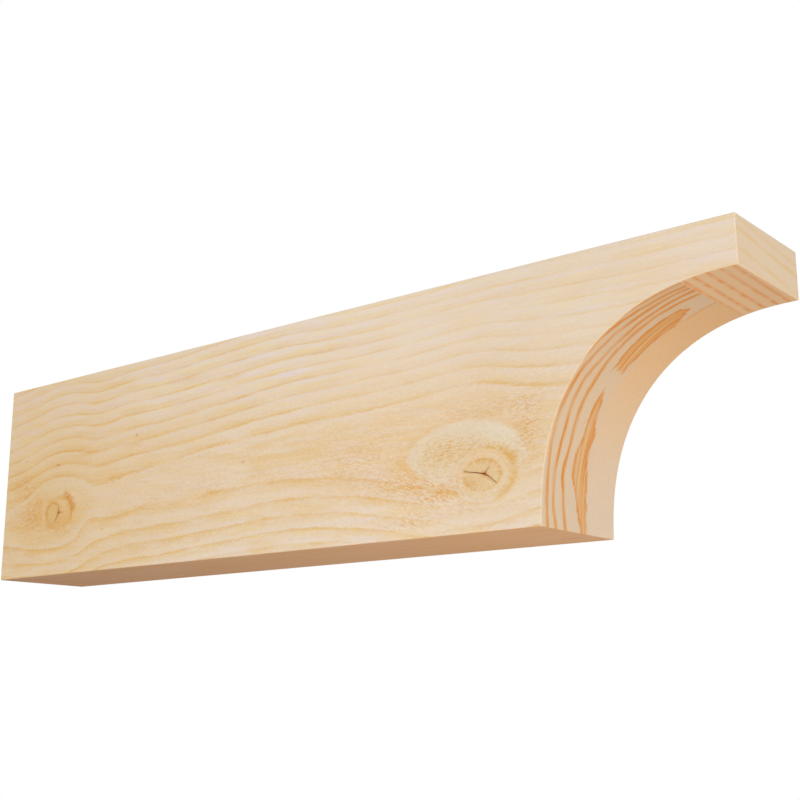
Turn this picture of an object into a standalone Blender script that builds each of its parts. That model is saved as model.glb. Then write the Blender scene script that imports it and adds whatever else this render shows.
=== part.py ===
"""Coved rafter tail: one length of sawn softwood with a hollow cove cut under its free end.

Metres, +Z up. +X runs along the timber towards the coved tip, and the timber is WIDTH wide along Y.
The origin is on the underside, in the middle of the length and of the width.
"""

import math

import bmesh
import bpy

# Timber, as sawn and planed
LENGTH = 0.762
WIDTH = 0.095
HEIGHT = 0.184

# Cove under the tip: a quarter of a superellipse, vertical at the foot and level at the tip
TIP_DEPTH = 0.0345
COVE_RUN = 0.148
COVE_FULLNESS = 2.3
COVE_STEPS = 48

# Eased edges: every sharp edge is rounded over by this radius
EDGE_RADIUS = 0.001
EDGE_SEGMENTS = 2
SHARP_ANGLE = math.radians(30)

# Pale softwood, sanded and unfinished
WOOD_COLOR = (0.80, 0.64, 0.40, 1.0)
WOOD_ROUGHNESS = 0.62


def clear_scene():
    for old in list(bpy.data.objects):
        bpy.data.objects.remove(old, do_unlink=True)


def wood_material():
    material = bpy.data.materials.new("softwood")
    material.use_nodes = True
    shader = material.node_tree.nodes["Principled BSDF"]
    shader.inputs["Base Color"].default_value = WOOD_COLOR
    shader.inputs["Roughness"].default_value = WOOD_ROUGHNESS
    shader.inputs["Metallic"].default_value = 0.0
    return material


def cove_points():
    """Points (x, z) of the hollow, from its foot on the underside up to the tip's lower edge."""
    tip_x = LENGTH / 2
    rise = HEIGHT - TIP_DEPTH
    points = []
    for step in range(COVE_STEPS + 1):
        angle = math.pi / 2 * step / COVE_STEPS
        across, up = math.cos(angle), math.sin(angle)
        reach = (across**COVE_FULLNESS + up**COVE_FULLNESS) ** (-1 / COVE_FULLNESS)
        points.append((tip_x - COVE_RUN * reach * across, rise * reach * up))
    return points


def side_outline():
    """Outline (x, z) of the timber's side, counterclockwise as seen from -Y."""
    back_x, tip_x = -LENGTH / 2, LENGTH / 2
    return [(back_x, 0.0), *cove_points(), (tip_x, HEIGHT), (back_x, HEIGHT)]


def rafter_tail():
    bm = bmesh.new()
    rim = [bm.verts.new((x, -WIDTH / 2, z)) for x, z in side_outline()]
    side = bm.faces.new(rim)
    extruded = bmesh.ops.extrude_face_region(bm, geom=[side])
    far_rim = [item for item in extruded["geom"] if isinstance(item, bmesh.types.BMVert)]
    bmesh.ops.translate(bm, verts=far_rim, vec=(0.0, WIDTH, 0.0))
    bmesh.ops.recalc_face_normals(bm, faces=bm.faces)

    mesh = bpy.data.meshes.new("rafter_tail")
    bm.to_mesh(mesh)
    bm.free()
    mesh.shade_smooth()
    mesh.set_sharp_from_angle(angle=SHARP_ANGLE)
    mesh.materials.append(wood_material())

    timber = bpy.data.objects.new("rafter_tail", mesh)
    bpy.context.collection.objects.link(timber)

    easing = timber.modifiers.new("eased edges", "BEVEL")
    easing.limit_method = "ANGLE"
    easing.angle_limit = SHARP_ANGLE
    easing.width = EDGE_RADIUS
    easing.segments = EDGE_SEGMENTS
    return timber


clear_scene()
rafter_tail()
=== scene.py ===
"""Looks of the coved rafter tail: pale softwood with two knots, under soft studio light.

Metres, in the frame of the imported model: +X towards the coved tip, +Z up, the near side facing -Y.
The wood's figure is laid out in millimetres: along the timber from its back end, in from the near
side, and up from the underside. On the cove it runs up the curve from its foot.
"""

import math

import bmesh
import bpy
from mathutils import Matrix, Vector

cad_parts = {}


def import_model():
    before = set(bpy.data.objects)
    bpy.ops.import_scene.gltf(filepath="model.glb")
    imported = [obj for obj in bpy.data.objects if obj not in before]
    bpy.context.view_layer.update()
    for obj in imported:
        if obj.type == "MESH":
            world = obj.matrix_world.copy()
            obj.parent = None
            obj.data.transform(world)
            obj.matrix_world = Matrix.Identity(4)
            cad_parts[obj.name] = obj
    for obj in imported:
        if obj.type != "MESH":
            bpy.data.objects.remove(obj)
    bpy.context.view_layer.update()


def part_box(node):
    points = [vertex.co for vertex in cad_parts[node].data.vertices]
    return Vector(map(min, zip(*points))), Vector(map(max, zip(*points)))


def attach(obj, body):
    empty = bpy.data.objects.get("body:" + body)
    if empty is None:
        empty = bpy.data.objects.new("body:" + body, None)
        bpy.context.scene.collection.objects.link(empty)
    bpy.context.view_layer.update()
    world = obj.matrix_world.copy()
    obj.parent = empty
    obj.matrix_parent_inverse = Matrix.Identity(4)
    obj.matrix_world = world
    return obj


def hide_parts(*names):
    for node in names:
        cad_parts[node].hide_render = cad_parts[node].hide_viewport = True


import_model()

# Timber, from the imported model
LOW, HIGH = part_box("rafter_tail")
LENGTH = HIGH.x - LOW.x
WIDTH = HIGH.y - LOW.y
HEIGHT = HIGH.z - LOW.z

# Cove under the tip, as the solid has it
TIP_DEPTH = 0.0345
COVE_RUN = 0.148
COVE_FULLNESS = 2.3
COVE_STEPS = 96
EDGE_RADIUS = 0.001
EDGE_SEGMENTS = 4
SHARP_ANGLE = math.radians(30)

# The same sizes in millimetres, for the figure
MM = 0.001
TIP_AT = LENGTH / MM
TOP_AT = HEIGHT / MM
FAR_SIDE = WIDTH / MM
RISE = (HEIGHT - TIP_DEPTH) / MM
RUN = COVE_RUN / MM
CURVE_LENGTH = 240.0

# Growth rings round a pith inside the timber, laid out as listed
PITH_IN = 30.0
RING_WIDTH = 10.0
# The near side shows no ring beyond this one
LAST_RING = 9.5
# The cut back end shows each ring as this many finer ones
FINE_RINGS = 3.0
# How many rings lie round the pith at the far side, and the most that the curve below can hold
FAR_RINGS = 12.4
MOST_RINGS = 20.0
# Along the near side: how many rings lie round the pith, which is most beside the two knots
PITH_RING = (
    (0, 12.3),
    (30, 12.6),
    (75, 13.2),
    (105, 13.1),
    (140, 12.4),
    (180, 12.25),
    (250, 12.35),
    (390, 12.6),
    (450, 12.85),
    (510, 13.35),
    (560, 13.8),
    (610, 13.1),
    (660, 12.7),
    (762, 12.4),
)
# Along the timber: how high the pith lies
PITH_UP = (
    (0, 48),
    (35, 50),
    (75, 55),
    (125, 57),
    (175, 62),
    (250, 67),
    (300, 71),
    (390, 76),
    (450, 75),
    (510, 70),
    (560, 67),
    (610, 67),
    (762, 70),
)
# Swells that lift or drop the rings: along, up, half length, half height, rings lifted
SWELL_IN = 80.0
SWELLS = (
    (10, 165, 60, 70, 1.0),
    (160, 150, 80, 45, 0.6),
    (460, 185, 80, 45, -1.0),
    (560, 185, 50, 30, -0.8),
    (270, 88, 150, 14, 0.3),
    (300, 54, 150, 12, -0.15),
    (125, 42, 22, 12, -0.45),
    (65, 84, 30, 10, 0.25),
)

# Marks on the near side: along, up, half length, half height, strength
NEAR_DEPTH = 12.0
GOLDEN_STREAKS = (
    (310, 150, 14, 2.2, 0.6),
    (258, 157, 20, 2.4, 0.55),
    (120, 108, 18, 1.8, 0.55),
    (190, 108, 13, 1.8, 0.5),
    (355, 97, 14, 2.0, 0.5),
    (420, 154, 24, 2.2, 0.45),
)
SPECKS = (
    (80.6, 102.5, 2.4, 0.9, 0.9),
    (193, 116.5, 1.4, 0.9, 1.0),
    (30.6, 111.5, 1.8, 0.8, 0.5),
    (329, 76.5, 1.6, 0.8, 0.7),
    (151, 36.5, 2.0, 0.8, 0.45),
)
TORN_LEVEL = (
    (604, 66, 12, 21, 0.95),
    (575, 86, 50, 7, 0.6),
    (535, 59, 22, 11, 0.8),
    (562, 63, 22, 8, 0.4),
    (455, 60, 45, 25, 0.55),
    (44, 62, 24, 18, 0.6),
    (30, 88, 26, 12, 0.35),
    (84, 46, 22, 8, 0.4),
    (300, 60, 110, 8, 0.35),
)
TORN_FALLING = (
    (527, 31, 26, 10, 1.2),
    (492, 42, 30, 12, 0.9),
    (500, 12, 30, 7, 0.8),
    (557, 17, 14, 5, 0.5),
)
FALL = 0.45

# Middles of the knots' forms: along, up
RIGHT_COLLAR = (566.5, 39.5)
RIGHT_HEART = (566.5, 39.8)
LEFT_CRESCENT = (84.0, 52.0)
LEFT_HEART = (77.0, 57.5)

# Orange spot on the underside: its middle and its half sizes, each along, inward, up
UNDERSIDE_SPOT = ((595.0, 69.0, 0.0), (9.0, 3.0, 5.0))

# Cracks in the knots: the half width at their middle, and where each arm bends and ends
CRACK_DEPTH = 0.0012
CRACK_TAPER = 0.5
CRACK_TIP = 0.12
RIGHT_CRACK = (
    (0.50, ((568.6, 40.2), (560.5, 41.9), (551.0, 43.6))),
    (0.50, ((568.6, 40.2), (573.8, 37.0), (578.8, 32.6))),
    (0.25, ((568.6, 40.2), (570.8, 43.0), (573.2, 45.0))),
)
LEFT_CRACK = (
    (0.45, ((85.4, 57.6), (82.8, 53.0), (80.0, 49.0))),
    (0.25, ((85.4, 57.6), (85.2, 60.8), (84.8, 63.6))),
    (0.25, ((85.4, 57.6), (88.4, 57.6), (92.0, 57.2))),
)

# Lines of late wood on the cove: strength, then points (up the curve, in from the near edge)
COVE_LINE_CORE = 0.6
COVE_LINE_HALF = 2.7
COVE_FLANK_HALF = 5.0
COVE_LINES = (
    (0.75, ((150, -3), (165, 0.5), (185, 2.4), (240, 4))),
    (1.0, ((110, -4), (125, 0), (140, 2.2), (157, 5.5), (173, 8.3), (199, 9.2))),
    (1.0, ((0, 7.2), (48, 5), (84, 3.3), (107, 5), (123, 7.8), (137, 10.5), (157, 13.3), (199, 14.4))),
    (1.0, ((0, 18.2), (23, 13.9), (70, 15.5), (90, 13.9), (107, 14.6), (123, 18.9), (199, 20.9))),
    (1.15, ((0, 29.5), (25, 26.1), (40, 23.9), (60, 26.7), (90, 25.3), (110, 26.1), (199, 30))),
)
# Flat patches there: where they start up the curve, how orange their middle is, near edge, far edge
COVE_PATCHES = (
    (
        117.0,
        0.5,
        ((112, 37.2), (132, 36.6), (160, 36.8), (177, 38), (183, 44.4), (186, 47)),
        ((112, 51), (118, 51.7), (140, 54.6), (163, 56), (176, 50), (183, 44.6), (186, 42)),
    ),
    (
        -9.0,
        0.22,
        ((0, 48.5), (10, 45.5), (27, 41), (41, 34.4), (57, 36), (65, 38.6), (90, 39.2), (101, 42), (105, 44)),
        ((0, 57.5), (40, 55.6), (55, 52.2), (68, 53.9), (80, 50), (93, 47.4), (101, 42.4), (105, 40)),
    ),
)
# Above this the cove cuts across the grain, and the late wood shows as bands
ACROSS_AT = 199.0
ACROSS_BANDS = (201.3, 208.9, 218.4, 228.0, 236.7)
ACROSS_SLOPE = 0.03
ACROSS_HALF = 1.5

# Bands on the tip: how far below the top at the near side, half height, strength
TIP_BANDS = ((9.6, 1.4, 0.5), (22.6, 1.6, 0.35), (2.0, 1.2, 0.3), (30.0, 1.5, 0.2))
TIP_SLOPE = 0.095


def srgb(red, green, blue):
    """Linear colour of an 8-bit one."""
    def linear(value):
        value /= 255
        return value / 12.92 if value <= 0.04045 else ((value + 0.055) / 1.055) ** 2.4
    return (linear(red), linear(green), linear(blue), 1.0)


# Wood
PALE = srgb(231, 218, 201)
YELLOW = srgb(226, 198, 151)
COVE_FOOT = srgb(222, 211, 196)
# the cove's top colour is partly the wood turning golden, partly painted warm shade where the cove faces down
COVE_TOP_WITH_PAINTED_WARM_SHADE = srgb(226, 201, 165)
COVE_NEAR = srgb(218, 203, 181)
COVE_ACROSS = srgb(231, 211, 182)
TIP_GRAIN = srgb(235, 219, 197)
END_GRAIN = srgb(230, 210, 180)
UNDERSIDE = srgb(228, 199, 167)
CRACK = srgb(150, 98, 58)

# What a mark multiplies the wood's colour by
GOLDEN = (0.975, 0.89, 0.68, 1.0)
RING_LINE = (0.96, 0.81, 0.52, 1.0)
TORN = (0.93, 0.72, 0.50, 1.0)
ORANGE = (0.90, 0.60, 0.30, 1.0)
SPECK = (0.76, 0.52, 0.34, 1.0)
HALO = (0.97, 1.015, 1.05, 1.0)
EYE_EAST = (1.02, 1.07, 1.12, 1.0)
HEART = (0.93, 0.82, 0.55, 1.0)
HEART_RIM = (0.95, 0.76, 0.50, 1.0)
CRACK_LIP = (0.83, 0.48, 0.26, 1.0)
COVE_LINE = (0.98, 0.52, 0.14, 1.0)
COVE_HEART = (1.02, 0.86, 0.52, 1.0)
COVE_PLAIN = (1.0, 0.95, 0.88, 1.0)
BAND = (0.97, 0.89, 0.70, 1.0)
TIP_LINE = (1.0, 0.85, 0.42, 1.0)


class Graph:
    """A shader tree, written as arithmetic."""

    def __init__(self, tree):
        self.tree = tree

    def node(self, kind, **settings):
        made = self.tree.nodes.new(kind)
        for name, value in settings.items():
            setattr(made, name, value)
        return made

    def feed(self, socket, value):
        if isinstance(value, Value):
            self.tree.links.new(value.socket, socket)
        else:
            socket.default_value = value

    def math(self, operation, *operands):
        node = self.node("ShaderNodeMath", operation=operation)
        for socket, operand in zip(node.inputs, operands):
            self.feed(socket, operand)
        return Value(self, node.outputs[0])

    def vector(self, operation, *operands):
        node = self.node("ShaderNodeVectorMath", operation=operation)
        for socket, operand in zip(node.inputs, operands):
            self.feed(socket, operand)
        one_number = operation in ("DOT_PRODUCT", "LENGTH", "DISTANCE")
        return Value(self, node.outputs["Value" if one_number else "Vector"])

    def combine(self, x=0.0, y=0.0, z=0.0):
        node = self.node("ShaderNodeCombineXYZ")
        for socket, part in zip(node.inputs, (x, y, z)):
            self.feed(socket, part)
        return Value(self, node.outputs[0])

    def separate(self, vector):
        node = self.node("ShaderNodeSeparateXYZ")
        self.feed(node.inputs[0], vector)
        return [Value(self, output) for output in node.outputs]

    def noise(self, vector, detail=2.0, roughness=0.5, distortion=0.0):
        """Smooth noise about 0, mostly within -1 to 1, with features about one unit across."""
        node = self.node("ShaderNodeTexNoise", noise_dimensions="3D", normalize=False)
        self.feed(node.inputs["Vector"], vector)
        node.inputs["Scale"].default_value = 1.0
        node.inputs["Detail"].default_value = detail
        node.inputs["Roughness"].default_value = roughness
        node.inputs["Distortion"].default_value = distortion
        return Value(self, node.outputs[0])

    def stretched_noise(self, place, sizes, **settings):
        """Noise whose features have the given size along each axis."""
        return self.noise(self.vector("MULTIPLY", place, tuple(1 / s for s in sizes)), **settings)

    def step(self, value, start, end):
        """0 before start and 1 after end, smooth between; start may be the larger."""
        node = self.node("ShaderNodeMapRange", interpolation_type="SMOOTHSTEP")
        self.feed(node.inputs["Value"], value)
        node.inputs["From Min"].default_value = min(start, end)
        node.inputs["From Max"].default_value = max(start, end)
        node.inputs["To Min"].default_value = 0.0 if start < end else 1.0
        node.inputs["To Max"].default_value = 1.0 if start < end else 0.0
        return Value(self, node.outputs[0])

    def bell(self, value, middle, half):
        """1 at the middle, falling away smoothly on both sides."""
        away = (value - middle) / half
        return (-(away * away)).exponent()

    def curve(self, value, points, whole_in, whole_out):
        """A smooth line through the points, read at a value from 0 to whole_in."""
        node = self.node("ShaderNodeFloatCurve")
        self.feed(node.inputs["Value"], value / whole_in)
        mapping = node.mapping
        mapping.use_clip = False
        mapping.extend = "HORIZONTAL"
        line = mapping.curves[0]
        while len(line.points) < len(points):
            line.points.new(0.5, 0.5)
        for handle, (along, height) in zip(line.points, points):
            handle.location = (along / whole_in, height / whole_out)
        mapping.update()
        return Value(self, node.outputs[0]) * whole_out

    def mix(self, amount, first, second, blend="MIX"):
        node = self.node("ShaderNodeMix", data_type="RGBA", blend_type=blend)
        self.feed(node.inputs["Factor"], amount)
        self.feed(node.inputs[6], first)
        self.feed(node.inputs[7], second)
        return Value(self, node.outputs[2])

    def tint(self, colour, amount, tone):
        """The colour, multiplied by a tone where the amount is 1."""
        return self.mix(amount, colour, tone, blend="MULTIPLY")


class Value:
    """One output of a shader tree, with arithmetic on it."""

    def __init__(self, graph, socket):
        self.graph = graph
        self.socket = socket

    def __add__(self, other):
        return self.graph.math("ADD", self, other)

    def __radd__(self, other):
        return self.graph.math("ADD", other, self)

    def __sub__(self, other):
        return self.graph.math("SUBTRACT", self, other)

    def __rsub__(self, other):
        return self.graph.math("SUBTRACT", other, self)

    def __mul__(self, other):
        return self.graph.math("MULTIPLY", self, other)

    def __rmul__(self, other):
        return self.graph.math("MULTIPLY", other, self)

    def __truediv__(self, other):
        return self.graph.math("DIVIDE", self, other)

    def __pow__(self, other):
        return self.graph.math("POWER", self, other)

    def __neg__(self):
        return self.graph.math("MULTIPLY", self, -1.0)

    def fraction(self):
        return self.graph.math("FRACT", self)

    def exponent(self):
        return self.graph.math("EXPONENT", self)

    def least(self, other):
        return self.graph.math("MINIMUM", self, other)

    def most(self, other):
        return self.graph.math("MAXIMUM", self, other)

    def smooth_least(self, other, softness):
        return self.graph.math("SMOOTH_MIN", self, other, softness)


def hill(g, place, centre, size):
    """1 at the centre, falling away smoothly all round: a bell of the given half sizes."""
    away = g.vector("SUBTRACT", place, centre)
    scaled = g.vector("MULTIPLY", away, tuple(1 / s for s in size))
    return (-g.vector("DOT_PRODUCT", scaled, scaled)).exponent()


def near_hill(g, place, along, up, half_length, half_height):
    """A hill on the near side that is gone a few millimetres into the wood."""
    return hill(g, place, (along, 0.0, up), (half_length, NEAR_DEPTH, half_height))


def marks(g, place, spots):
    """Hills on the near side, added up."""
    hills = [near_hill(g, place, *spot[:-1]) * spot[-1] for spot in spots]
    return sum(hills[1:], hills[0])


def ellipse(g, place, along, up, half_length, half_height):
    """Distance from a point of the near side's figure, 1 on an ellipse round it."""
    away = g.vector("SUBTRACT", place, (along, 0.0, up))
    return g.vector("LENGTH", g.vector("MULTIPLY", away, (1 / half_length, 0.0, 1 / half_height)))


def facing(g, place, along, up, degrees, half_angle):
    """1 where a place lies in the given direction from a point of the near side, within an angle."""
    away = g.vector("MULTIPLY", g.vector("SUBTRACT", place, (along, 0.0, up)), (1.0, 0.0, 1.0))
    turn = math.radians(degrees)
    ahead = g.vector("DOT_PRODUCT", g.vector("NORMALIZE", away), (math.cos(turn), 0.0, math.sin(turn)))
    edge = math.cos(math.radians(half_angle))
    full = math.cos(math.radians(half_angle * 0.45))
    return g.step(ahead, edge, full)


def ring_number(g, place):
    """Growth ring at a place in the timber, counted up towards the pith, which wanders up and down."""
    along, inward, up = g.separate(place)
    above_pith = up - g.curve(along, PITH_UP, TIP_AT, TOP_AT)
    from_pith = g.vector("LENGTH", g.combine(0.0, inward - PITH_IN, above_pith))
    # the extra rings beside the knots are gone at the far side
    extra = g.curve(along, PITH_RING, TIP_AT, MOST_RINGS) - FAR_RINGS
    number = FAR_RINGS + extra * g.step(inward, FAR_SIDE, 0.0) - from_pith / RING_WIDTH
    for middle, level, half_length, half_height, lift in SWELLS:
        size = (half_length, SWELL_IN, half_height)
        number = number + lift * hill(g, place, (middle, 0.0, level), size)
    return number


def long_grain(g, place, base):
    """Wood cut along its fibres: each ring turns golden, ends in a thin dark line and starts pale."""
    along, inward, up = g.separate(place)
    number = ring_number(g, place)
    calm = 1.0 - 0.8 * near_hill(g, place, 80.0, 45.0, 65.0, 32.0)
    number = number + 0.10 * calm * g.stretched_noise(place, (70.0, 40.0, 16.0), detail=2.0)
    number = number + 0.04 * (0.5 + 0.5 * calm) * g.stretched_noise(place, (12.0, 6.0, 2.5), detail=3.0)
    # the near side stays clear of rings that would close round its middle
    number = number.smooth_least(LAST_RING + inward * 0.5, 0.2)
    # below the top third the saw has roughened the fibres, and the rings' edges with them
    high = g.step(up, 100.0, 140.0)
    rough = g.stretched_noise(place, (4.5, 3.0, 1.2), detail=1.0, distortion=0.8)
    ring = (number + (0.085 - 0.06 * high) * rough).fraction()
    closing = ((1.0 - ring) / 0.10).least(1.0)
    golden = g.step(ring, 0.05, 1.0) * closing
    line = g.step(ring, 0.66, 0.92) * closing + 0.3 * high * g.bell(ring, 0.5, 0.1)
    patchy = g.stretched_noise(place, (70.0, 30.0, 9.0), detail=3.0, roughness=0.6)
    broken = g.stretched_noise(place, (22.0, 12.0, 3.0), detail=2.0)
    blotches = g.stretched_noise(place, (42.0, 26.0, 5.5), detail=3.0, roughness=0.55)
    stripes = g.stretched_noise(place, (80.0, 30.0, 3.0), detail=2.0)
    quiet = g.step(along, 330.0, 530.0) * g.step(up, 92.0, 120.0)
    below_knot = near_hill(g, place, 565.0, 15.0, 55.0, 11.0)
    above_knot = near_hill(g, place, 565.0, 88.0, 50.0, 10.0)
    back_corner = near_hill(g, place, 30.0, 158.0, 90.0, 32.0)
    strength = 0.98 - 0.18 * high - 0.4 * quiet - 0.7 * below_knot - 0.4 * above_knot - 0.25 * back_corner
    mottled = 1.0 - 0.6 * g.step(up, 85.0, 110.0)
    warmth = golden * strength * (0.70 + 0.22 * g.bell(up, 92.0, 28.0) + 0.75 * patchy)
    warmth = warmth + mottled * (0.15 + 0.7 * blotches + 0.35 * rough)
    warmth = warmth + near_hill(g, place, 370.0, 72.0, 110.0, 20.0) * 0.7 * stripes
    colour = g.tint(base, warmth, GOLDEN)
    amount = 0.47 + 0.15 * high + 0.5 * patchy + 0.5 * broken
    colour = g.tint(colour, line * strength * amount, RING_LINE)
    # some streaks only change hue, from golden to a cooler cream
    hue = g.stretched_noise(place, (60.0, 20.0, 4.0), detail=3.0, roughness=0.6)
    cooler = (0.11 + 0.15 * high) * (1.0 - 0.5 * quiet) * hue
    colour = g.vector("MULTIPLY", colour, g.combine(1.0 + 0.02 * hue, 1.0, 1.0 - cooler))
    return colour, number


def stroke(g, place, start, end, half_width):
    """1 along a straight line on the near side, falling away smoothly on both sides of it."""
    ahead = (end[0] - start[0], 0.0, end[1] - start[1])
    length_squared = ahead[0] ** 2 + ahead[2] ** 2
    away = g.vector("MULTIPLY", g.vector("SUBTRACT", place, (start[0], 0.0, start[1])), (1.0, 0.0, 1.0))
    part = g.vector("DOT_PRODUCT", away, tuple(length / length_squared for length in ahead))
    part = part.most(0.0).least(1.0)
    nearest = g.vector("MULTIPLY", g.combine(part, part, part), ahead)
    return g.bell(g.vector("DISTANCE", away, nearest), 0.0, half_width)


def crack_lips(g, place, colour, arms):
    """Brown wood along a crack, and dark, reddish wood round its middle."""
    centre = arms[0][1][0]
    for half_width, route in arms:
        brown = stroke(g, place, route[0], route[-1], 1.8 * half_width)
        colour = g.tint(colour, brown * half_width, CRACK_LIP)
    colour = g.tint(colour, near_hill(g, place, *centre, 1.9, 1.6), CRACK_LIP)
    return g.tint(colour, near_hill(g, place, *centre, 4.0, 3.2) * 0.3, ORANGE)


def right_knot(g, place, colour, wobble, mottle, base):
    """The large knot before the cove: a pale eye, a collar of fine rings, a crescent, the heart."""
    halo = g.tint(base, 0.9, HALO)
    below = near_hill(g, place, 601.0, 32.0, 16.0, 12.0) + near_hill(g, place, 575.0, 12.0, 36.0, 4.5)
    colour = g.mix(below * 0.75, colour, g.tint(base, 0.4, GOLDEN))

    upper = ellipse(g, place, 550.5, 49.0, 55.5, 31.0)
    lower = ellipse(g, place, 555.0, 71.5, 62.0, 39.0)
    collar = ellipse(g, place, *RIGHT_COLLAR, 25.5, 19.5)
    outline = upper.most(lower).smooth_least(collar, 0.2) + 0.03 * wobble
    west = g.step(g.separate(place)[0], 575.0, 520.0)
    colour = g.tint(colour, g.step(outline, 1.4, 1.02) * (0.08 + 0.26 * west), GOLDEN)
    colour = g.tint(colour, g.bell(outline, 1.05, 0.06) * (0.12 + 0.08 * west), RING_LINE)
    golden = near_hill(g, place, 533.0, 58.0, 22.0, 12.0) + near_hill(g, place, 562.0, 57.0, 28.0, 7.0)
    eye = g.tint(halo, golden * (0.85 + 1.8 * mottle), GOLDEN)
    eye = g.tint(eye, near_hill(g, place, 588.0, 67.0, 20.0, 12.0), EYE_EAST)
    colour = g.mix(g.step(outline, 1.03, 0.93), colour, eye)

    rings = collar + 0.02 * wobble
    low_left = 1.0 - facing(g, place, *RIGHT_COLLAR, 35.0, 95.0)
    colour = g.mix(g.step(rings, 1.02, 0.94), colour, g.tint(base, 0.8 + 0.8 * mottle, GOLDEN))
    colour = g.mix(g.bell(rings, 0.93, 0.06) * low_left * 0.6, colour, halo)
    colour = g.tint(colour, g.bell(rings, 1.02, 0.035) * 0.3, RING_LINE)
    colour = g.mix(g.bell(rings, 0.79, 0.035) * 0.5, colour, halo)
    colour = g.tint(colour, g.bell(rings, 0.84, 0.025) * 0.3, RING_LINE)

    sickle = ellipse(g, place, 569.5, 41.0, 25.0, 20.0) + 0.03 * wobble
    east = facing(g, place, *RIGHT_COLLAR, -3.0, 68.0)
    colour = g.tint(colour, g.bell(sickle, 0.96, 0.13) * east * (0.95 + 0.8 * mottle), RING_LINE)
    spot = near_hill(g, place, 592.5, 49.5, 5.5, 4.5)
    colour = g.tint(colour, spot * (0.95 + 0.8 * mottle), RING_LINE)
    brow = facing(g, place, *RIGHT_COLLAR, 55.0, 36.0)
    colour = g.tint(colour, g.bell(sickle, 0.91, 0.08) * brow * (0.75 + 0.6 * mottle), RING_LINE)

    heart = ellipse(g, place, *RIGHT_HEART, 17.2, 11.8) + 0.05 * wobble
    middle = g.vector("SUBTRACT", place, (RIGHT_HEART[0], 0.0, RIGHT_HEART[1]))
    around = g.math("ARCTAN2", g.separate(middle)[2], g.separate(middle)[0])
    rays = g.noise(g.combine(around * 7.0, heart * 1.6, 0.0), detail=2.0)
    heartwood = g.tint(base, 0.8 + 0.7 * rays, HEART)
    rim = near_hill(g, place, 555.5, 33.5, 6.5, 5.0) + near_hill(g, place, 566.0, 51.0, 12.0, 3.0)
    rim = rim + near_hill(g, place, 582.5, 41.0, 2.4, 8.0) + near_hill(g, place, 575.5, 48.5, 3.0, 2.5)
    heartwood = g.tint(heartwood, rim * (0.6 + 0.8 * mottle), HEART_RIM)
    heartwood = g.tint(heartwood, g.step(heart, 0.7, 1.0) * 0.4, RING_LINE)
    colour = g.mix(g.step(heart, 1.08, 0.90), colour, heartwood)
    return crack_lips(g, place, colour, RIGHT_CRACK)


def left_knot(g, place, colour, number, wobble, mottle, base):
    """The small knot near the back end, in a wide golden eye with a pale band inside its edge."""
    halo = g.tint(base, 1.0, HALO)
    ground = near_hill(g, place, 48.0, 56.0, 25.0, 16.0) + near_hill(g, place, 84.0, 47.0, 25.0, 11.0) * 0.7
    colour = g.tint(colour, ground * (0.65 + 1.1 * mottle), RING_LINE)
    shade = near_hill(g, place, 32.0, 88.0, 26.0, 9.0)
    colour = g.tint(colour, shade * (0.4 + 1.1 * mottle), RING_LINE)
    eye = g.step(g.separate(place)[0], 150.0, 120.0)
    band = g.step(number, 8.99, 9.03) * g.step(number, 9.2, 9.07)
    brow = near_hill(g, place, 78.0, 82.0, 30.0, 6.0)
    stripe = near_hill(g, place, 63.0, 60.0, 3.0, 16.0) * 0.6
    colour = g.mix((band * eye).most(brow).most(stripe) * 0.9, colour, halo)

    collar = ellipse(g, place, 86.0, 57.0, 23.0, 18.5) + 0.03 * wobble
    colour = g.tint(colour, g.step(collar, 1.05, 0.8) * 0.5, GOLDEN)
    colour = g.tint(colour, g.bell(collar, 0.80, 0.06) * 0.25, RING_LINE)
    sickle = ellipse(g, place, *LEFT_CRESCENT, 25.5, 25.0) + 0.03 * wobble
    north_east = facing(g, place, *LEFT_CRESCENT, 42.0, 38.0)
    crescent = g.bell(sickle, 0.93, 0.15) * north_east + near_hill(g, place, 105.0, 64.5, 4.5, 5.0) * 0.4
    colour = g.tint(colour, crescent * (0.8 + 0.9 * mottle), ORANGE)
    colour = g.tint(colour, near_hill(g, place, 104.5, 54.5, 1.2, 6.0) * 0.6, ORANGE)
    colour = g.tint(colour, near_hill(g, place, 88.0, 72.0, 9.0, 2.6) * 0.5, RING_LINE)

    heart = ellipse(g, place, *LEFT_HEART, 11.0, 10.8) + 0.06 * wobble
    heartwood = g.tint(base, 0.85, HEART)
    shoulder = facing(g, place, *LEFT_HEART, 125.0, 125.0)
    edge = g.step(heart, 0.55, 0.95) * (0.35 + 0.75 * shoulder)
    heartwood = g.tint(heartwood, edge * (0.95 + 0.9 * mottle), HEART_RIM)
    colour = g.mix(g.step(heart, 1.10, 0.92), colour, heartwood)
    return crack_lips(g, place, colour, LEFT_CRACK)


def near_side(g, place, colour, number, base):
    """The near side's own marks: golden streaks, two knots, torn fibres and specks."""
    along, inward, up = g.separate(place)
    wobble = g.stretched_noise(place, (9.0, 9.0, 7.0), detail=2.0)
    mottle = g.stretched_noise(place, (3.6, 3.0, 1.7), detail=2.0, roughness=0.6, distortion=0.8)
    colour = g.tint(colour, marks(g, place, GOLDEN_STREAKS) * (1.0 + mottle), RING_LINE)
    colour = right_knot(g, place, colour, wobble, mottle, base)
    colour = left_knot(g, place, colour, number, wobble, mottle, base)
    falling = g.combine(along, inward, up + FALL * along)
    for spots, here in ((TORN_LEVEL, place), (TORN_FALLING, falling)):
        strokes = g.stretched_noise(here, (4.4, 4.0, 1.1), detail=1.0, distortion=1.0)
        colour = g.tint(colour, g.step(strokes, -0.15, 0.35) * marks(g, place, spots), TORN)
    return g.tint(colour, marks(g, place, SPECKS), SPECK)


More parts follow.
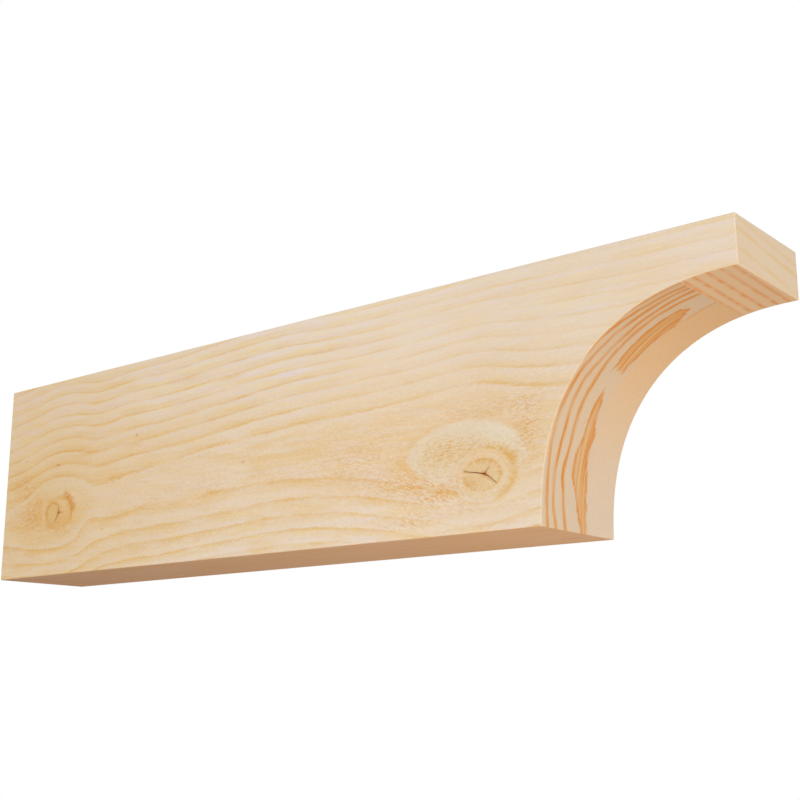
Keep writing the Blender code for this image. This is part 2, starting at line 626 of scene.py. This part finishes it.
def late_wood_on_cove(g, inward, climb, ragged, waver, streaks):
    """Late wood on the cove, lines near its front edge and flat patches: how orange, and how golden."""
    orange = g.bell(inward, 83.0 - climb * 0.15, 1.2) * g.step(climb, 165.0, 180.0) * 0.4
    golden = orange
    for strength, points in COVE_LINES:
        middle = g.curve(climb, points, CURVE_LENGTH, FAR_SIDE) + 0.5 * waver
        away = g.math("ABSOLUTE", inward + 1.1 * ragged - middle)
        line = g.step(away, COVE_LINE_HALF, COVE_LINE_CORE)
        orange = (line * (strength * (0.72 + 0.45 * waver + 0.6 * streaks))).most(orange)
        golden = (g.step(away, COVE_FLANK_HALF, COVE_LINE_CORE) * 0.3).most(golden)
    for start, fill, near_edge, far_edge in COVE_PATCHES:
        after = inward - g.curve(climb, near_edge, CURVE_LENGTH, FAR_SIDE)
        before = g.curve(climb, far_edge, CURVE_LENGTH, FAR_SIDE) - inward
        depth = after.least(before) + 2.4 * ragged
        begun = g.step(climb + 6.0 * ragged, start, start + 3.0)
        patch = g.step(depth, -0.2, 0.8) * begun
        middle = g.step(depth, 0.8, 4.5)
        orange = (patch * (1.0 - middle * (1.0 - fill) + 1.4 * middle * streaks)).most(orange)
        golden = (patch * middle * 0.75).most(golden)
    return orange, golden


def cove_figure(g, place, turn):
    """The cove's wood: lines and patches of late wood, plain fine streaks, then bands under the tip."""
    along, inward, up = g.separate(place)
    climb = turn * CURVE_LENGTH
    on_curve = g.combine(climb, inward, 0.0)
    ragged = g.stretched_noise(on_curve, (16.0, 1.6, 1.0), detail=3.0, roughness=0.6)
    waver = g.stretched_noise(on_curve, (30.0, 9.0, 1.0), detail=1.0)
    streaks = g.stretched_noise(on_curve, (90.0, 1.1, 1.0), detail=3.0, roughness=0.6)
    fine = g.stretched_noise(on_curve, (9.0, 0.5, 1.0), detail=2.0)

    # up the curve from pinkish beige to golden orange: partly the wood's own colour, partly painted warm
    # shade on the upper cove, which faces down
    colour = g.mix(g.step(climb, 0.0, 170.0), COVE_FOOT, COVE_TOP_WITH_PAINTED_WARM_SHADE)
    colour = g.mix(g.step(inward, 62.0, 50.0), colour, COVE_NEAR)
    colour = g.tint(colour, 0.8 * g.step(inward, 50.0, 60.0) + 0.8 * streaks, COVE_PLAIN)
    orange, golden = late_wood_on_cove(g, inward, climb, ragged, waver, streaks)
    along_grain = g.tint(g.tint(colour, golden, COVE_HEART), orange, COVE_LINE)

    level = climb + ACROSS_SLOPE * inward + 0.5 * waver
    bands = [g.bell(level, band, ACROSS_HALF) for band in ACROSS_BANDS]
    across_grain = g.tint(COVE_ACROSS, 0.15 + 0.3 * fine, BAND)
    across_grain = g.tint(across_grain, sum(bands[1:], bands[0]) * (0.55 + 0.45 * waver), COVE_LINE)
    colour = g.mix(g.step(climb, ACROSS_AT - 0.5, ACROSS_AT + 0.5), along_grain, across_grain)
    tone = 1.0 + 0.02 * streaks + 0.04 * fine
    return g.vector("MULTIPLY", colour, g.combine(tone, tone, tone))


def tip_figure(g, place):
    """The tip's cut end: pale, with faint bands nearly level with the top."""
    along, inward, up = g.separate(place)
    down = (TOP_AT - up) - TIP_SLOPE * inward
    waver = g.stretched_noise(place, (10.0, 30.0, 8.0), detail=2.0)
    fine = g.stretched_noise(place, (1.0, 1.6, 0.7), detail=2.0, roughness=0.6)
    colour = g.tint(TIP_GRAIN, 0.25 + 0.3 * fine, BAND)
    for depth, half, strength in TIP_BANDS:
        band = g.bell(down + 1.2 * waver, depth, half) * (1.0 + 1.2 * waver)
        colour = g.tint(colour, band * strength, TIP_LINE)
    return colour


def back_figure(g, place, number):
    """The cut back end: rings round the pith, fine rays across them and saw marks."""
    section = g.vector("SUBTRACT", place, (0.0, PITH_IN, PITH_UP[0][1]))
    along, inward, up = g.separate(section)
    angle = g.math("ARCTAN2", up, inward)
    fine_ring = (number * FINE_RINGS).fraction()
    late = g.step(fine_ring, 0.35, 0.85) * g.step(fine_ring, 1.0, 0.9)
    ring_tone = g.stretched_noise(place, (20.0, 25.0, 25.0), detail=2.0)
    rays = g.noise(g.combine(angle * 46.0, number * 0.35, 0.0), detail=3.0, roughness=0.65)
    saw = g.noise(g.combine(0.0, inward * 0.05 + up * 0.01, up * 0.9 + inward * 0.2), detail=2.0)
    pores = g.stretched_noise(place, (1.0, 0.5, 0.5), detail=2.0, roughness=0.7)
    colour = g.tint(END_GRAIN, 0.45 + 0.5 * rays, BAND)
    colour = g.tint(colour, late * (0.75 + 0.5 * ring_tone), RING_LINE)
    tone = 0.95 + 0.04 * saw + 0.05 * pores
    return g.vector("MULTIPLY", colour, g.combine(tone, tone, tone)), 0.6 * saw + 0.5 * rays


def wood_material():
    """The timber's finish, planned by place and by which way each face looks."""
    material = bpy.data.materials.new("softwood")
    material.use_nodes = True
    tree = material.node_tree
    shader = tree.nodes["Principled BSDF"]
    g = Graph(tree)

    coordinates = g.node("ShaderNodeTexCoord")
    here = Value(g, coordinates.outputs["Object"])
    normal = Value(g, coordinates.outputs["Normal"])
    from_corner = g.vector("SUBTRACT", here, (LOW.x, LOW.y, LOW.z))
    place = g.vector("MULTIPLY", from_corner, (1 / MM, 1 / MM, 1 / MM))
    along, inward, up = g.separate(place)

    # which face this is
    endways, sideways, upright = g.separate(g.vector("ABSOLUTE", normal))
    on_side = g.step(sideways, 0.6, 0.8)
    across = ((TIP_AT - along) / RUN).most(0.0)
    height = (up / RISE).most(0.0)
    fullness = across**COVE_FULLNESS + height**COVE_FULLNESS
    on_cove = g.step(fullness, 1.014, 1.006) * (1.0 - on_side)
    turn = g.math("ARCTAN2", height, across) / (math.pi / 2)
    on_end = g.step(endways, 0.6, 0.8)
    on_tip = on_end * g.step(along, TIP_AT - 3.0, TIP_AT - 1.5) * g.step(up, RISE - 1.0, RISE)
    on_back = on_end * g.step(along, 3.0, 1.5)
    on_underside = g.step(up, 2.0, 1.0) * g.step(upright, 0.6, 0.8)

    # the wood is yellowest at the back end, and palest along the top and towards the tip
    drift = g.stretched_noise(place, (120.0, 60.0, 45.0), detail=2.0)
    yellow = 0.35 * g.bell(up, 72.0, 62.0) + 0.52 * g.bell(along, 30.0, 190.0) + 0.18 * drift
    base = g.mix(yellow, PALE, YELLOW)

    # the knots grow from the pith towards the near side, so the far side is free of them
    plain, number = long_grain(g, place, base)
    marked = near_side(g, place, plain, number, base)
    colour = g.mix(g.step(inward, PITH_IN, 0.5 * PITH_IN), plain, marked)
    fibres = g.noise(g.combine(along / 30.0, inward / 2.0, up / 0.8), detail=3.0, roughness=0.6)
    wool = g.stretched_noise(place, (3.2, 2.0, 1.3), detail=2.0, roughness=0.6, distortion=0.7)
    tone = 1.0 + 0.018 * fibres + (0.055 - 0.03 * g.step(up, 95.0, 140.0)) * wool
    # painted shade: the wood is darkened by 4.5 % from 480 to 620 mm along, to tone down the front light on
    # that end
    tone = tone - 0.045 * g.step(along, 480.0, 620.0)
    colour = g.vector("MULTIPLY", colour, g.combine(tone, tone, tone))

    broad = g.stretched_noise(place, (150.0, 26.0, 20.0), detail=2.0)
    thin = g.stretched_noise(place, (110.0, 3.0, 4.0), detail=3.0, roughness=0.7)
    underside = g.tint(UNDERSIDE, 0.4 + 0.5 * broad + 1.5 * thin, GOLDEN)
    underside = g.tint(underside, hill(g, place, *UNDERSIDE_SPOT) * 0.7, ORANGE)
    colour = g.mix(on_underside, colour, underside)

    back, back_relief = back_figure(g, place, number)
    colour = g.mix(on_cove, colour, cove_figure(g, place, turn))
    colour = g.mix(on_tip, colour, tip_figure(g, place))
    colour = g.mix(on_back, colour, back)
    g.feed(shader.inputs["Base Color"], colour)

    rough = g.stretched_noise(place, (14.0, 4.0, 3.0), detail=3.0)
    g.feed(shader.inputs["Roughness"], 0.6 + 0.07 * rough + 0.04 * fibres)
    shader.inputs["Specular IOR Level"].default_value = 0.25

    relief = g.node("ShaderNodeBump")
    relief.inputs["Strength"].default_value = 0.35
    relief.inputs["Distance"].default_value = 0.00025
    g.feed(relief.inputs["Height"], 0.5 * fibres + 0.6 * wool + on_back * back_relief)
    tree.links.new(relief.outputs["Normal"], shader.inputs["Normal"])
    return material


def crack_material():
    """Dark, dull wood inside a crack."""
    material = bpy.data.materials.new("crack")
    material.use_nodes = True
    tree = material.node_tree
    shader = tree.nodes["Principled BSDF"]
    g = Graph(tree)
    here = Value(g, g.node("ShaderNodeTexCoord").outputs["Object"])
    grime = g.stretched_noise(here, (2 * MM, 2 * MM, 2 * MM), detail=3.0)
    g.feed(shader.inputs["Base Color"], g.tint(CRACK, 0.4 + 0.6 * grime, SPECK))
    shader.inputs["Roughness"].default_value = 0.85
    shader.inputs["Specular IOR Level"].default_value = 0.1
    return material


def cove_points():
    """Points (x, z) of the hollow, from its foot on the underside up to the tip's lower edge."""
    rise = HEIGHT - TIP_DEPTH
    points = []
    for number in range(COVE_STEPS + 1):
        angle = math.pi / 2 * number / COVE_STEPS
        across, up = math.cos(angle), math.sin(angle)
        reach = (across**COVE_FULLNESS + up**COVE_FULLNESS) ** (-1 / COVE_FULLNESS)
        points.append((HIGH.x - COVE_RUN * reach * across, LOW.z + rise * reach * up))
    return points


def crack_cutter(name, half_width, route):
    """A wedge along one arm of a crack, wide at the surface and at the crack's middle."""
    points = [Vector((along, up)) for along, up in route]
    bm = bmesh.new()
    sections = []
    for number, point in enumerate(points):
        before = points[max(number - 1, 0)]
        after = points[min(number + 1, len(points) - 1)]
        ahead = (after - before).normalized()
        aside = Vector((-ahead.y, ahead.x))
        half = half_width + (CRACK_TIP - half_width) * number / (len(points) - 1)
        middle = point - ahead * half_width * 0.5 if number == 0 else point
        corners = []
        for depth, width in ((-EDGE_RADIUS, half), (CRACK_DEPTH, half * CRACK_TAPER)):
            for side in (-1, 1):
                along, up = middle + aside * width * side
                corners.append(bm.verts.new((LOW.x + along * MM, LOW.y + depth, LOW.z + up * MM)))
        sections.append((corners[0], corners[1], corners[3], corners[2]))
    for here, there in zip(sections, sections[1:]):
        for side in range(4):
            following = (side + 1) % 4
            bm.faces.new((here[side], here[following], there[following], there[side]))
    bm.faces.new(sections[0])
    bm.faces.new(sections[-1])
    bmesh.ops.recalc_face_normals(bm, faces=bm.faces)
    mesh = bpy.data.meshes.new(name)
    bm.to_mesh(mesh)
    bm.free()
    return bpy.data.objects.new(name, mesh)


def timber(wood, crack):
    """The whole rafter tail: its outline drawn through the width, edges eased, knots cracked."""
    outline = [(LOW.x, LOW.z), *cove_points(), (HIGH.x, HIGH.z), (LOW.x, HIGH.z)]
    bm = bmesh.new()
    rim = [bm.verts.new((x, LOW.y, z)) for x, z in outline]
    side = bm.faces.new(rim)
    extruded = bmesh.ops.extrude_face_region(bm, geom=[side])
    far_rim = [item for item in extruded["geom"] if isinstance(item, bmesh.types.BMVert)]
    bmesh.ops.translate(bm, verts=far_rim, vec=(0.0, WIDTH, 0.0))
    bmesh.ops.recalc_face_normals(bm, faces=bm.faces)
    mesh = bpy.data.meshes.new("timber")
    bm.to_mesh(mesh)
    bm.free()
    mesh.materials.append(wood)
    mesh.materials.append(crack)

    piece = bpy.data.objects.new("timber", mesh)
    bpy.context.scene.collection.objects.link(piece)
    easing = piece.modifiers.new("eased edges", "BEVEL")
    easing.limit_method = "ANGLE"
    easing.angle_limit = SHARP_ANGLE
    easing.width = EDGE_RADIUS
    easing.segments = EDGE_SEGMENTS

    cutters = []
    for number, (half_width, route) in enumerate(RIGHT_CRACK + LEFT_CRACK):
        cutter = crack_cutter(f"crack_{number}", half_width, route)
        cutter.data.materials.append(wood)
        cutter.data.materials.append(crack)
        for face in cutter.data.polygons:
            face.material_index = 1
        bpy.context.scene.collection.objects.link(cutter)
        cut = piece.modifiers.new(cutter.name, "BOOLEAN")
        cut.operation = "DIFFERENCE"
        cut.object = cutter
        cutters.append(cutter)

    evaluated = piece.evaluated_get(bpy.context.evaluated_depsgraph_get())
    finished = bpy.data.meshes.new_from_object(evaluated)
    piece.modifiers.clear()
    piece.data = finished
    for cutter in cutters:
        bpy.data.objects.remove(cutter)
    finished.shade_smooth()
    finished.set_sharp_from_angle(angle=SHARP_ANGLE)
    flatness = piece.modifiers.new("flat faces stay flat", "WEIGHTED_NORMAL")
    flatness.keep_sharp = True
    return piece


# Studio
FLOOR_DROP = 1.5
FLOOR_REACH = 12.0
CAMERA_PLACE = (0.6931, -0.7578, -0.1121)
CAMERA_TURN = math.radians(39.271)
CAMERA_PITCH = math.radians(13.227)
LENS = 57.58
SENSOR = 36.0
BACKDROP = (1.0, 1.0, 1.0, 1.0)
SKY_LIGHT = (0.66, 0.66, 0.66, 1.0)
GROUND_LIGHT = (0.18, 0.075, 0.025, 1.0)
PLAIN_LIGHT = (1.0, 1.0, 1.0)
WARM_LIGHT = (1.0, 0.84, 0.66)
# name, place, what it points at, size, watts, colour
LIGHTS = (
    ("front light", (0.7, -2.6, 0.9), (0.0, 0.0, 0.1), 1.6, 22.0, PLAIN_LIGHT),
    ("left light", (-1.6, -2.2, 0.9), (0.0, 0.0, 0.1), 1.6, 6.7, PLAIN_LIGHT),
    ("low light", (1.1, -0.5, -1.0), (0.2, 0.0, 0.0), 0.8, 15.0, WARM_LIGHT),
)


def world():
    """White to the camera; the part is lit softly from all round, with a warm glow from below."""
    made = bpy.data.worlds.new("studio")
    made.use_nodes = True
    bpy.context.scene.world = made
    g = Graph(made.node_tree)
    background = made.node_tree.nodes["Background"]
    direction = Value(g, g.node("ShaderNodeTexCoord").outputs["Generated"])
    height = g.separate(direction)[2]
    lighting = g.mix(g.step(height, -0.1, -0.7), SKY_LIGHT, GROUND_LIGHT)
    seen = Value(g, g.node("ShaderNodeLightPath").outputs["Is Camera Ray"])
    g.feed(background.inputs["Color"], g.mix(seen, lighting, BACKDROP))
    background.inputs["Strength"].default_value = 1.0


def floor():
    """A plain pale floor, far enough below to leave the underside in its own soft shade."""
    bm = bmesh.new()
    bmesh.ops.create_circle(bm, cap_ends=True, segments=96, radius=FLOOR_REACH)
    mesh = bpy.data.meshes.new("floor")
    bm.to_mesh(mesh)
    bm.free()
    made = bpy.data.objects.new("floor", mesh)
    bpy.context.scene.collection.objects.link(made)
    made.location = (0.0, 0.0, LOW.z - FLOOR_DROP)
    material = bpy.data.materials.new("pale floor")
    material.use_nodes = True
    shader = material.node_tree.nodes["Principled BSDF"]
    shader.inputs["Base Color"].default_value = (0.9, 0.9, 0.9, 1.0)
    shader.inputs["Roughness"].default_value = 0.9
    mesh.materials.append(material)
    made.visible_diffuse = False
    made.visible_glossy = False
    made.visible_shadow = False


def area_light(name, place, target, size, power, colour):
    data = bpy.data.lights.new(name, "AREA")
    data.shape = "DISK"
    data.size = size
    data.energy = power
    data.color = colour
    light = bpy.data.objects.new(name, data)
    bpy.context.scene.collection.objects.link(light)
    light.location = place
    towards = Vector(target) - Vector(place)
    light.rotation_euler = towards.to_track_quat("-Z", "Y").to_euler()
    light.visible_camera = False


def camera():
    """The photograph's viewing angle, from below and in front of the tip."""
    data = bpy.data.cameras.new("camera")
    data.lens = LENS
    data.sensor_width = SENSOR
    made = bpy.data.objects.new("camera", data)
    made.location = CAMERA_PLACE
    made.rotation_euler = (math.pi / 2 + CAMERA_PITCH, 0.0, CAMERA_TURN)
    bpy.context.scene.collection.objects.link(made)
    bpy.context.scene.camera = made


bpy.context.scene.view_settings.view_transform = "Standard"
camera()
world()
floor()
for light in LIGHTS:
    area_light(*light)

piece = timber(wood_material(), crack_material())
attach(piece, "root")
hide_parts("rafter_tail")
